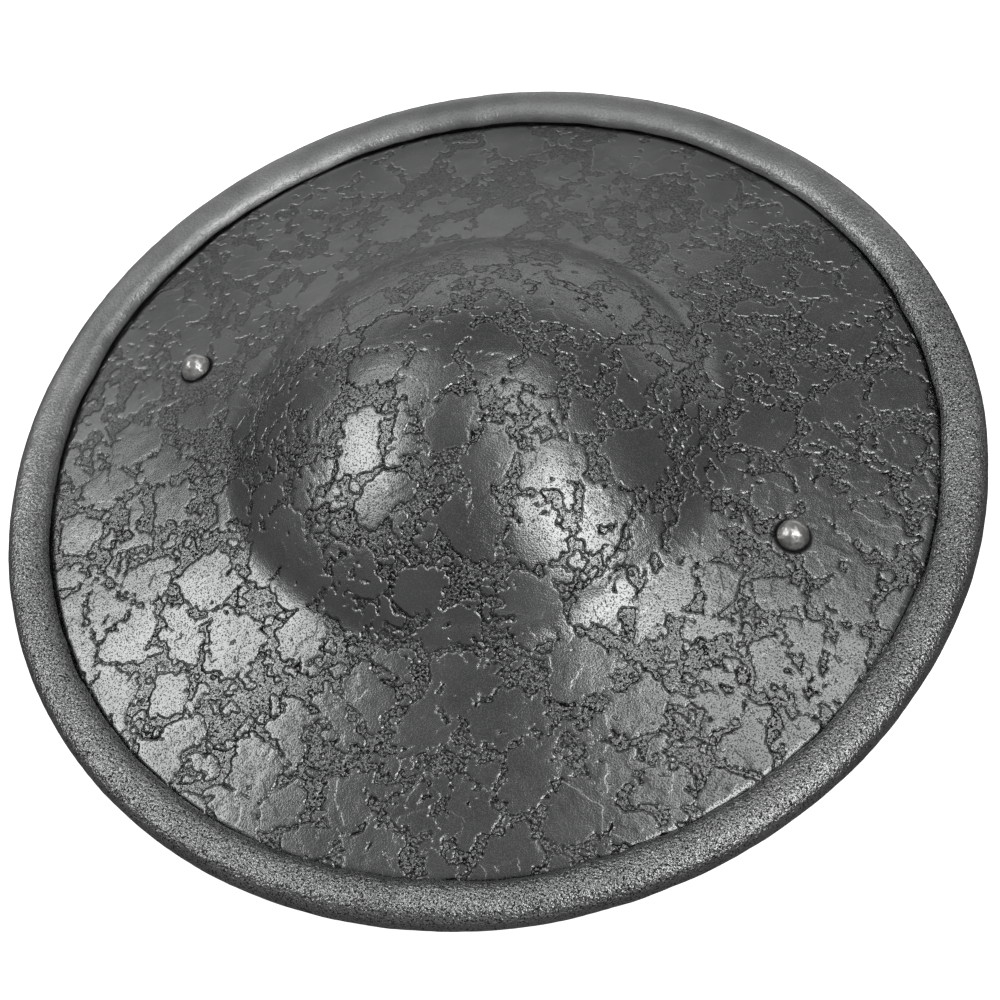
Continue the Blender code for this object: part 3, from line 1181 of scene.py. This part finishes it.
@dataclass(frozen=True)
class SheetShape:
    """The sheet's section, from the crown of the boss to the lip of the rim. Sizes are in metres."""

    radius: float
    thickness: float = 0.0015
    rim_width: float = 0.0136
    rim_height: float = 0.0111
    rim_squareness: float = 2.5
    lip_angle: float = math.radians(161)
    land_width: float = 0.0036
    bend_width: float = 0.0070
    bend_pull: float = 0.0030
    plate_edge_height: float = 0.0068
    plate_edge_slope: float = math.radians(9.1)
    plate_flare: float = 1.75
    boss_radius: float = 0.0730
    boss_rise: float = 0.0340
    boss_fillet: float = 0.0045
    long_steps: int = 300
    roll_steps: int = 600
    bend_steps: int = 40

    def plate_front(self, radius: float) -> float:
        """How high the plate's front face is.

        Args:
            radius: how far from the middle.

        Returns:
            Its height there.
        """
        inward = self.radius - self.rim_width - radius
        climb = math.tan(self.plate_edge_slope) * inward
        return self.plate_edge_height + climb + self.plate_flare * inward**2

    def plate_angle(self, radius: float) -> float:
        """Angle of the plate's front face below the horizontal, going outwards."""
        inward = self.radius - self.rim_width - radius
        return math.atan(math.tan(self.plate_edge_slope) + 2 * self.plate_flare * inward)

    def under_plate(self, radius: float, depth: float) -> tuple[float, float]:
        """(radius, height) of the point this deep under the plate's front face, square to it."""
        angle = self.plate_angle(radius)
        return radius - depth * math.sin(angle), self.plate_front(radius) - depth * math.cos(angle)

    def boss_line(self) -> np.ndarray:
        """Draws the boss, part of a ball.

        Returns:
            Its middle line, (radius, height) from the crown to where the fillet round its foot starts.
        """
        sphere = (self.boss_radius**2 + self.boss_rise**2) / (2 * self.boss_rise)
        centre = self.plate_front(self.boss_radius) + self.boss_rise - sphere
        middle = sphere - self.thickness / 2
        foot = math.asin(self.boss_radius / sphere) - self.boss_fillet / sphere
        turn = np.linspace(0, foot, self.long_steps)
        return np.stack([middle * np.sin(turn), centre + middle * np.cos(turn)], axis=1)

    def rim_line(self) -> np.ndarray:
        """Draws the rim, a flattened circle that stops short of closing.

        Returns:
            Its middle line: the flat land, up the outside, over the top and in to the lip.
        """
        centre = self.radius - self.rim_width / 2
        half_width = (self.rim_width - self.thickness) / 2
        half_height = (self.rim_height - self.thickness) / 2
        power = 2 / self.rim_squareness
        land_end = -math.acos((self.land_width / 2 / half_width) ** (1 / power))
        turn = np.linspace(land_end, self.lip_angle, self.roll_steps)
        across, up = np.cos(turn), np.sin(turn)
        roll = np.stack(
            [
                centre + half_width * np.sign(across) * np.abs(across) ** power,
                self.rim_height / 2 + half_height * np.sign(up) * np.abs(up) ** power,
            ],
            axis=1,
        )
        land = np.array([(centre - self.land_width / 2, self.thickness / 2)])
        return np.concatenate([land, roll])

    def middle_line(self) -> np.ndarray:
        """Draws the whole sheet.

        Returns:
            Its middle line, (radius, height) from the boss's crown to the lip.
        """
        half = self.thickness / 2
        boss, rim = self.boss_line(), self.rim_line()
        start = self.boss_radius + self.boss_fillet
        end = self.radius - self.rim_width / 2 - self.land_width / 2 - self.bend_width
        plate = np.array([self.under_plate(r, half) for r in np.linspace(start, end, self.long_steps)])
        crease = self.under_plate(self.boss_radius, half)
        fillet = bezier([tuple(boss[-1]), crease, tuple(plate[0])], self.bend_steps)
        slope = self.plate_angle(plate[-1][0])
        pulled = (
            plate[-1][0] + self.bend_pull * math.cos(slope),
            plate[-1][1] - self.bend_pull * math.sin(slope),
        )
        controls = [tuple(plate[-1]), pulled, (rim[0][0] - self.bend_pull, rim[0][1]), tuple(rim[0])]
        bend = bezier(controls, self.bend_steps)
        return np.concatenate([boss, fillet[1:-1], plate, bend[1:-1], rim])


@dataclass
class ShieldSheet:
    """The sheet as five closed pieces: four rings of boss and plate, from the crown out, and the rim.

    The seams are the radii where they meet. Sizes are in metres, but for the sizes of the rim's hammer blows
    and the zones that they reach, which are in millimetres.
    """

    shape: SheetShape
    pattern: EtchedPattern = field(default_factory=EtchedPattern)
    ring_names: tuple[str, ...] = ("boss_crown", "boss_foot", "inner_plate", "outer_plate")
    seams: tuple[float, ...] = (0.0700, 0.0990, 0.1210, 0.1385)
    spacing: float = 0.00050
    back_spacing: float = 0.0022
    island_height: float = 0.00011
    terrace_height: float = 0.00003
    proud: float = 0.00008
    shoulder_width: float = 0.0013
    shoulder_inset: float = 0.0003
    dent_height: float = 0.00022
    dent_size: float = 40.0
    least_upward: float = 0.15
    rim_turns: int = 1180
    rim_spacing: float = 0.00062
    hidden_spacing: float = 0.0013
    cap_steps: int = 7
    wave_circle: float = 100.0
    wave_sizes: tuple[float, float] = (26.0, 9.0)
    wave_detail: float = 0.6
    lip_wave: float = 0.75
    roll_wave: float = 0.20
    bump_sizes: tuple[float, float] = (7.0, 2.4)
    bump_detail: float = 0.7
    bump_height: float = 0.07
    lip_inset: float = 4.0
    lip_fade: float = 9.0
    lip_least_height: float = 4.0
    lip_height_fade: float = 3.0
    roll_start: float = 141.0
    roll_fade: float = 5.0

    def build(self, front: bpy.types.Material, rim: bpy.types.Material, back: bpy.types.Material) -> None:
        """Builds and dresses the five pieces.

        Args:
            front: the finish of the etched front.
            rim: the finish of the rolled rim.
            back: the finish of the back and of every hidden side.
        """
        middle = self.shape.middle_line()
        fore = offset_line(middle, self.shape.thickness / 2)
        rear = offset_line(middle, -self.shape.thickness / 2)
        log.info("sheet: %.1f mm from crown to lip", arc_lengths(middle)[-1] / MM)
        cuts = [0] + [int(np.argmax(middle[:, 0] >= seam)) for seam in self.seams]
        top, stops = self.front(fore, cuts)
        for index, name in enumerate(self.ring_names):
            part = top.between(stops[index], stops[index + 1])
            piece = self.shell(name, part, rear[cuts[index] : cuts[index + 1] + 1])
            piece.data.materials.append(front)
            piece.data.materials.append(back)
            self.paint_back(piece)
            self.declare(piece)
        piece = self.rim(middle[cuts[-1] :])
        piece.data.materials.append(rim)
        self.declare(piece)

    @staticmethod
    def declare(piece: bpy.types.Object) -> None:
        """Hides the plate's part from the imported model, which the pieces stand in for."""
        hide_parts("shield_plate")

    def paint_back(self, piece: bpy.types.Object) -> None:
        """Gives the second finish to the faces that look down or sideways.

        Args:
            piece: a piece with both finishes.
        """
        facing = np.empty(len(piece.data.polygons) * 3, np.float32)
        piece.data.polygons.foreach_get("normal", facing)
        chosen = (facing.reshape(-1, 3)[:, 2] < self.least_upward).astype(np.int32)
        piece.data.polygons.foreach_set("material_index", chosen)

    @staticmethod
    def counts(line: np.ndarray, spacing: float) -> list[int]:
        """Points round each ring of a line, so that they are about this far apart."""
        return [1 if r < spacing / 2 else max(6, round(FULL_TURN * r / spacing)) for r in line[:, 0]]

    def front(self, fore: np.ndarray, cuts: list[int]) -> tuple[Surface, list[int]]:
        """The whole etched front, from the crown to the rim.

        Args:
            fore: (radius, height) along its front face.
            cuts: which points of that line are the ends of the pieces.

        Returns:
            The front, and the number of its ring at each of those ends.
        """
        stretches, stops = [], [0]
        for start, end in zip(cuts, cuts[1:]):
            stretch = respaced(fore[start : end + 1], self.spacing * math.sqrt(3) / 2)
            stretches.append(stretch[1:] if stretches else stretch)
            stops.append(stops[-1] + len(stretch) - 1)
        line = np.concatenate(stretches)
        top = turned_surface(line, self.counts(line, self.spacing))
        self.etch(top, line)
        return top, stops

    def shell(self, name: str, top: Surface, rear: np.ndarray) -> bpy.types.Object:
        """A closed stretch of the sheet.

        Args:
            name: the piece's name.
            top: its front face.
            rear: (radius, height) along its back face.

        Returns:
            The new piece.
        """
        line = respaced(rear, self.back_spacing)
        under = turned_surface(line, self.counts(line, self.back_spacing)).flipped()
        self.dent(under)
        whole = joined(top, under)
        start = len(top.points)
        skirt(whole, under.rings[-1] + start, top.rings[-1])
        if len(top.rings[0]) > 1:
            skirt(whole, top.rings[0], under.rings[0] + start)
        return make_piece(name, whole)

    def dent(self, surface: Surface) -> None:
        """Presses the broad, shallow unevenness of hand work into a surface.

        Args:
            surface: the surface, changed in place.
        """
        points = surface.points / MM
        push = self.dent_height * in_batches(lambda part: noise(part, self.dent_size, 7), points)
        surface.points = surface.points + push[:, None] * [0, 0, 1]

    def etch(self, surface: Surface, line: np.ndarray) -> None:
        """Raises the islands and the terraces on a surface.

        Args:
            surface: the front face, changed in place.
            line: (radius, height) of each of its rings.
        """
        levels = in_batches(self.pattern.measure, surface.points / MM)
        lift = np.full(len(surface.points), self.proud)
        for column, (name, height) in enumerate(
            ((ISLANDS, self.island_height), (TERRACES, self.terrace_height))
        ):
            level = evened(surface, levels[:, column])
            apart = distance_to(outline_bits(surface, level), surface.points)
            signed = np.copysign(apart, level)
            surface.values[name] = signed / MM
            share = np.clip((signed + self.shoulder_inset) / self.shoulder_width + 0.5, 0, 1)
            lift -= height * (1 - share * share * (3 - 2 * share))
        surface.points = surface.points + self.outward(surface, line) * lift[:, None]
        self.dent(surface)

    @staticmethod
    def outward(surface: Surface, line: np.ndarray) -> np.ndarray:
        """Which way the smooth sheet faces, before any relief.

        Args:
            surface: the surface whose points are asked about.
            line: (radius, height) of each of its rings.

        Returns:
            A vector of length 1 for each point.
        """
        along = unit(np.gradient(line, axis=0))
        sizes = [len(ring) for ring in surface.rings]
        across, up = np.repeat(-along[:, 1], sizes), np.repeat(along[:, 0], sizes)
        turn = np.arctan2(surface.points[:, 1], surface.points[:, 0])
        return np.stack([across * np.cos(turn), across * np.sin(turn), up], axis=1)

    def rim(self, middle: np.ndarray) -> bpy.types.Object:
        """The bend and the roll, as one closed ring.

        Args:
            middle: the sheet's middle line from the seam to the lip.

        Returns:
            The new piece.
        """
        half = self.shape.thickness / 2
        outer = respaced(offset_line(middle, -half), self.rim_spacing)
        inner = respaced(offset_line(middle, half), self.hidden_spacing)
        along = middle[-1] - middle[-2]
        along /= np.linalg.norm(along)
        turn = np.linspace(0, math.pi, self.cap_steps)[1:-1]
        side = np.array([-along[1], along[0]])
        cap = middle[-1] + half * (np.outer(np.sin(turn), along) - np.outer(np.cos(turn), side))
        loop = np.concatenate([outer, cap, inner[::-1]])
        surface = self.ring_of(loop)
        self.hammer_rim(surface)
        return make_piece("rolled_rim", surface)

    def ring_of(self, loop: np.ndarray) -> Surface:
        """Turns a closed section about Z.

        Args:
            loop: (radius, height) of its points, anticlockwise with the radius to the right.

        Returns:
            The closed ring, facing outwards.
        """
        turn = np.arange(self.rim_turns) * (FULL_TURN / self.rim_turns)
        count = len(loop)
        points = np.stack(
            [
                np.outer(np.cos(turn), loop[:, 0]),
                np.outer(np.sin(turn), loop[:, 0]),
                np.outer(np.ones(self.rim_turns), loop[:, 1]),
            ],
            axis=-1,
        ).reshape(-1, 3)
        here = np.arange(self.rim_turns * count).reshape(self.rim_turns, count)
        ahead = np.roll(here, -1, axis=0)
        quads = np.stack([here, ahead, np.roll(ahead, -1, axis=1), np.roll(here, -1, axis=1)], axis=-1)
        quads = quads.reshape(-1, 4)
        triangles = np.concatenate([quads[:, [0, 1, 2]], quads[:, [0, 2, 3]]])
        return Surface(points, triangles, [])

    def hammer_rim(self, surface: Surface) -> None:
        """Gives the roll its hammered unevenness and its lip a wavy edge.

        Args:
            surface: the rim, changed in place.
        """
        points = surface.points / MM
        around = np.hypot(points[:, 0], points[:, 1])
        outline = points * [1, 1, 0] / around[:, None] * self.wave_circle
        wave = in_batches(lambda part: blows(part, self.wave_sizes, self.wave_detail, 201), outline)
        bumps = in_batches(lambda part: blows(part, self.bump_sizes, self.bump_detail, 203), points)
        lip = np.clip((self.shape.radius / MM - self.lip_inset - around) / self.lip_fade, 0, 1)
        lip *= np.clip((points[:, 2] - self.lip_least_height) / self.lip_height_fade, 0, 1)
        roll = np.clip((around - self.roll_start) / self.roll_fade, 0, 1)
        outward = points * [1, 1, 0] / around[:, None]
        shift = outward * ((self.lip_wave * lip + self.roll_wave * roll) * wave)[:, None]
        shift += point_normals(surface) * (self.bump_height * bumps * np.maximum(lip, roll))[:, None]
        surface.points = surface.points + shift * MM
        surface.points[:, 2] = np.maximum(surface.points[:, 2], 0)


# ---- Rivets and grip ----


@dataclass
class Rivets:
    """The two dome-headed rivets, each square to the plate on its side of the boss.

    Sizes are in metres, but for those of the hammer's blows and what they reach, which are in millimetres.
    """

    shape: SheetShape
    place: float = 0.0995
    gap: float = 0.0003
    head_radius: float = 0.00475
    head_height: float = 0.0049
    head_centre: float = 0.0005
    shank_radius: float = 0.0025
    tail_radius: float = 0.0042
    tail_height: float = 0.0018
    lug_thickness: float = 0.003
    spacing: float = 0.00022
    round_spacing: float = 0.000308
    quarter_steps: int = 60
    blow_sizes: tuple[float, float] = (2.6, 1.2)
    light_share: float = 0.5
    blow_depth: float = 0.12
    beaten_radius: float = 2.6
    beaten_height: float = 2.0

    def section(self) -> np.ndarray:
        """Draws a rivet.

        Returns:
            (radius, height) from the tail's crown to the head's, with height 0 on the plate's face.
        """
        quarter = np.linspace(0, math.pi / 2, self.quarter_steps)
        grip_back = -(self.shape.thickness + self.lug_thickness + 2 * self.gap)
        tail = np.stack(
            [self.tail_radius * np.sin(quarter), grip_back - self.tail_height * np.cos(quarter)], axis=1
        )
        head = np.stack(
            [self.head_radius * np.cos(quarter), self.gap + self.head_height * np.sin(quarter)], axis=1
        )
        shank = np.array([(self.shank_radius, grip_back), (self.shank_radius, self.gap)])
        return np.concatenate([tail, shank, head])

    def build(self, finish: bpy.types.Material) -> None:
        """Builds both rivets.

        Args:
            finish: their polished iron.
        """
        tilt = self.shape.plate_angle(self.place)
        line = respaced(self.section(), self.spacing)
        for name, side in (("rivet_left", -1), ("rivet_right", 1)):
            count = round(FULL_TURN * self.head_radius / self.round_spacing)
            counts = [1 if r < 1e-6 else count for r in line[:, 0]]
            surface = turned_surface(line, counts)
            self.hammer(surface, seed=301 + side)
            frame = Matrix.Translation((side * self.place, 0, self.shape.plate_front(self.place)))
            frame = frame @ Matrix.Rotation(side * tilt, 4, "Y")
            turned = np.array(frame)
            surface.points = surface.points @ turned[:3, :3].T + turned[:3, 3]
            piece = make_piece("polished_" + name, surface.flipped())
            piece.data.materials.append(finish)
            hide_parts(name)

    def hammer(self, surface: Surface, seed: int) -> None:
        """Beats small soft facets into a rivet's head and tail.

        Args:
            surface: the rivet, changed in place.
            seed: picks one set of facets out of many.
        """
        points = surface.points / MM
        facets = in_batches(lambda part: blows(part, self.blow_sizes, self.light_share, seed, 5), points)
        beside = np.clip(np.hypot(points[:, 0], points[:, 1]) - self.beaten_radius, 0, 1)
        above = np.clip((points[:, 2] - self.beaten_height) / 2, 0, 1)
        push = self.blow_depth * np.minimum(beside + above, 1.0) * facets
        outward = unit(surface.points - [0, 0, self.head_centre])
        surface.points = surface.points + outward * push[:, None] * MM


@dataclass
class Grip:
    """The forged grip: flat lugs under the plate and a thicker bar with rounded edges between them.

    Sizes are in metres, but for those of the hammer's blows and where they end, which are in millimetres.
    """

    shape: SheetShape
    rivet_place: float = 0.0995
    gap: float = 0.0003
    lug_width: float = 0.026
    lug_thickness: float = 0.003
    lug_edge: float = 0.0012
    bar_width: float = 0.022
    bar_thickness: float = 0.009
    bar_edge: float = 0.0042
    bar_height: float = 0.0190
    bar_half_length: float = 0.048
    lug_inner_end: float = 0.0840
    neck_pull: float = 0.014
    tip_steps: int = 16
    neck_steps: int = 30
    bar_steps: int = 60
    corner_steps: int = 8
    side_steps: int = 10
    tip_turn: float = math.radians(84)
    blow_sizes: tuple[float, float] = (11.0, 4.0)
    light_share: float = 0.5
    blow_depth: float = 0.30
    beaten_end: float = 80.0
    beaten_fade: float = 20.0

    def lug_middle(self) -> tuple[float, float, float]:
        """Places the right lug.

        Returns:
            (x, z, slope) of its middle.
        """
        depth = self.shape.thickness + self.gap + self.lug_thickness / 2
        x, z = self.shape.under_plate(self.rivet_place, depth)
        return x, z, self.shape.plate_angle(self.rivet_place)

    def half_stations(self) -> list[tuple[float, ...]]:
        """Sets out the right half of the grip.

        Returns:
            Stations from the tip to the middle, each x, z, slope, width, thickness and edge radius.
        """
        rivet_x, rivet_z, slope = self.lug_middle()
        lug = (self.lug_thickness, self.lug_edge)
        stations = []
        for turn in np.linspace(self.tip_turn, 0, self.tip_steps):
            along = self.lug_width / 2 * math.sin(turn)
            width = self.lug_width * math.cos(turn)
            x, z = rivet_x + along * math.cos(slope), rivet_z - along * math.sin(slope)
            stations.append((x, z, slope, width, *lug))
        neck_z = rivet_z + (rivet_x - self.lug_inner_end) * math.tan(slope)
        start = (self.lug_inner_end, neck_z)
        pulled = (start[0] - self.neck_pull * math.cos(slope), neck_z + self.neck_pull * math.sin(slope))
        end = (self.bar_half_length, self.bar_height)
        curve = bezier([start, pulled, (end[0] + self.neck_pull, end[1]), end], self.neck_steps)
        turns = np.arctan2(np.gradient(curve[:, 1]), -np.gradient(curve[:, 0]))
        bar = (self.bar_width, self.bar_thickness, self.bar_edge)
        for (x, z), turn, share in zip(curve, turns, np.linspace(0, 1, len(curve))):
            swell = share * share * (3 - 2 * share)
            sizes = [a + (b - a) * swell for a, b in zip((self.lug_width, *lug), bar)]
            stations.append((x, z, turn, *sizes))
        for x in np.linspace(self.bar_half_length, 0, self.bar_steps // 2 + 1)[1:]:
            stations.append((x, self.bar_height, 0.0, *bar))
        return stations

    def section(self, width: float, thickness: float, edge: float) -> np.ndarray:
        """Draws the bar's section, a rectangle with rounded corners.

        Args:
            width: how wide it is.
            thickness: how thick it is.
            edge: the radius of its corners.

        Returns:
            (across, up) of the points round it, as many for every size.
        """
        edge = min(edge, width * 0.49, thickness * 0.49)
        corners = []
        for quarter in range(4):
            middle = math.pi / 4 + quarter * math.pi / 2
            centre = np.array(
                [
                    math.copysign(width / 2 - edge, math.cos(middle)),
                    math.copysign(thickness / 2 - edge, math.sin(middle)),
                ]
            )
            turn = np.linspace(quarter, quarter + 1, self.corner_steps + 1) * math.pi / 2
            corners.append(centre + edge * np.stack([np.cos(turn), np.sin(turn)], axis=1))
        points = []
        for corner, following in zip(corners, corners[1:] + corners[:1]):
            points.extend(corner)
            for step in range(1, self.side_steps):
                points.append(corner[-1] + (following[0] - corner[-1]) * step / self.side_steps)
        return np.array(points)

    def build(self, finish: bpy.types.Material) -> None:
        """Builds the grip.

        Args:
            finish: its forged steel.
        """
        half = self.half_stations()
        stations = half + [(-x, z, -slope, *sizes) for x, z, slope, *sizes in reversed(half[:-1])]
        rings = []
        for x, z, slope, *sizes in stations:
            across, up = self.section(*sizes).T
            rings.append(np.stack([x + up * math.sin(slope), across, z + up * math.cos(slope)], axis=1))
        points = np.concatenate(rings)
        count = len(rings[0])
        here = np.arange(len(points)).reshape(len(rings), count)
        near, far = here[:-1], here[1:]
        quads = np.stack([near, np.roll(near, -1, axis=1), np.roll(far, -1, axis=1), far], axis=-1)
        quads = quads.reshape(-1, 4)
        triangles = [quads[:, [0, 1, 2]], quads[:, [0, 2, 3]]]
        for ring, order in ((here[0], -1), (here[-1], 1)):
            middle = len(points)
            points = np.concatenate([points, points[ring].mean(axis=0, keepdims=True)])
            fan = np.stack([ring, np.roll(ring, -1), np.full(count, middle)], axis=1)
            triangles.append(fan[:, ::order])
        surface = Surface(points, np.concatenate(triangles), [])
        self.hammer(surface)
        piece = make_piece("forged_grip", surface, sharp_angle=60.0)
        piece.data.materials.append(finish)
        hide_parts("grip")

    def hammer(self, surface: Surface) -> None:
        """Draws the bar out unevenly, as a hammer does.

        Args:
            surface: the grip, changed in place.
        """
        points = surface.points / MM
        marks = in_batches(lambda part: blows(part, self.blow_sizes, self.light_share, 401), points)
        free = np.clip((self.beaten_end - np.abs(points[:, 0])) / self.beaten_fade, 0, 1)
        push = self.blow_depth * free * marks
        surface.points = surface.points + point_normals(surface) * push[:, None] * MM


# ---- Studio ----


@dataclass(frozen=True)
class SoftBox:
    """One soft light, placed by where it stands seen from the shield, in degrees, metres and watts."""

    name: str
    azimuth: float
    elevation: float
    distance: float
    width: float
    height: float
    power: float

    def build(self) -> None:
        """Adds the light, facing the shield."""
        lamp = bpy.data.lights.new(self.name, "AREA")
        lamp.shape = "RECTANGLE"
        lamp.size = self.width
        lamp.size_y = self.height
        lamp.energy = self.power
        item = bpy.data.objects.new(self.name, lamp)
        turn, rise = math.radians(self.azimuth), math.radians(self.elevation)
        away = Vector((math.cos(turn) * math.cos(rise), math.sin(turn) * math.cos(rise), math.sin(rise)))
        item.location = away * self.distance
        item.rotation_euler = away.to_track_quat("Z", "Y").to_euler()
        bpy.context.scene.collection.objects.link(item)


@dataclass
class Studio:
    """A plain pale floor, soft lights and the camera."""

    floor_size: float = 40.0
    floor_colour: str = "#FFFFFF"
    floor_glow: float = 1.0
    floor_roughness: float = 0.9
    room_light: float = 0.158
    table_light: float = 0.11
    camera_place: tuple[float, float, float] = (0.25081, -0.31964, 0.58159)
    camera_aim: tuple[float, float, float] = (0.00931, -0.00984, 0.00556)
    camera_roll: float = -16.734
    lens: float = 83.35
    sensor_width: float = 36.0
    clip_start: float = 0.01
    lights: tuple[SoftBox, ...] = (
        SoftBox("left_softbox", 192.0, 46.0, 1.20, 0.64, 0.46, 1.25),
        SoftBox("left_wall", 185.0, 47.6, 1.25, 1.40, 0.70, 2.30),
        SoftBox("right_softbox", -15.0, 47.0, 1.20, 0.52, 0.95, 4.0),
        SoftBox("overhead_strip", 50.0, 71.0, 1.20, 1.00, 0.45, 1.65),
        SoftBox("front_fill", -52.0, 16.0, 1.20, 1.60, 0.40, 0.5),
        SoftBox("back_wall", 107.0, 3.5, 1.20, 2.60, 0.78, 2.45),
    )

    def build(self) -> None:
        """Sets up the room, the lights and the camera."""
        self.build_room()
        self.build_floor()
        for light in self.lights:
            light.build()
        self.build_camera()
        bpy.context.scene.view_settings.view_transform = "Standard"

    def build_room(self) -> None:
        """A dim room, with the light of the pale table coming from below."""
        world = bpy.data.worlds.new("studio_room")
        world.use_nodes = True
        tree = world.node_tree
        direction = add_node(tree, "TexCoord", output="Generated")
        rise = add_node(tree, "SeparateXYZ", (direction,), "Z")
        glow = add_node(tree, "MapRange", (rise, -0.1, 0.1, self.table_light, self.room_light))
        background = tree.nodes["Background"]
        tree.links.new(glow, background.inputs["Strength"])
        background.inputs["Color"].default_value = linear(self.floor_colour)
        bpy.context.scene.world = world

    def build_floor(self) -> None:
        """A pale table that glows a little, so that no hard shadow lies on it."""
        half = self.floor_size / 2
        mesh = bpy.data.meshes.new("studio_floor")
        corners = [(-half, -half, 0), (half, -half, 0), (half, half, 0), (-half, half, 0)]
        mesh.from_pydata(corners, [], [(0, 1, 2, 3)])
        floor = bpy.data.objects.new("studio_floor", mesh)
        bpy.context.scene.collection.objects.link(floor)
        material = bpy.data.materials.new("matt_white_table")
        material.use_nodes = True
        shader = material.node_tree.nodes["Principled BSDF"]
        shader.inputs["Base Color"].default_value = linear(self.floor_colour)
        shader.inputs["Roughness"].default_value = self.floor_roughness
        shader.inputs["Emission Color"].default_value = linear(self.floor_colour)
        shader.inputs["Emission Strength"].default_value = self.floor_glow
        mesh.materials.append(material)
        floor.visible_glossy = False
        floor.visible_diffuse = False

    def build_camera(self) -> None:
        """The camera, looking down at the shield with a small roll."""
        camera = bpy.data.cameras.new("camera")
        camera.lens = self.lens
        camera.sensor_width = self.sensor_width
        camera.clip_start = self.clip_start
        item = bpy.data.objects.new("camera", camera)
        place, aim = Vector(self.camera_place), Vector(self.camera_aim)
        upright = (aim - place).to_track_quat("-Z", "Y").to_matrix().to_4x4()
        roll = Matrix.Rotation(math.radians(self.camera_roll), 4, "Z")
        item.matrix_world = Matrix.Translation(place) @ upright @ roll
        bpy.context.scene.collection.objects.link(item)
        bpy.context.scene.camera = item


def main() -> None:
    """Builds the shield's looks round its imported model."""
    logging.basicConfig(level=logging.INFO, format="%(name)s: %(message)s")
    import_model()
    _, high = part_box("shield_plate")
    shape = SheetShape(radius=high.x)

    ShieldSheet(shape).build(EtchedSteel().build(), RolledRimSteel().build(), BlackenedBackSteel().build())
    Rivets(shape).build(HammeredRivetSteel().build())
    Grip(shape).build(ForgedBarSteel().build())
    Studio().build()


if __name__ == "__main__":
    main()
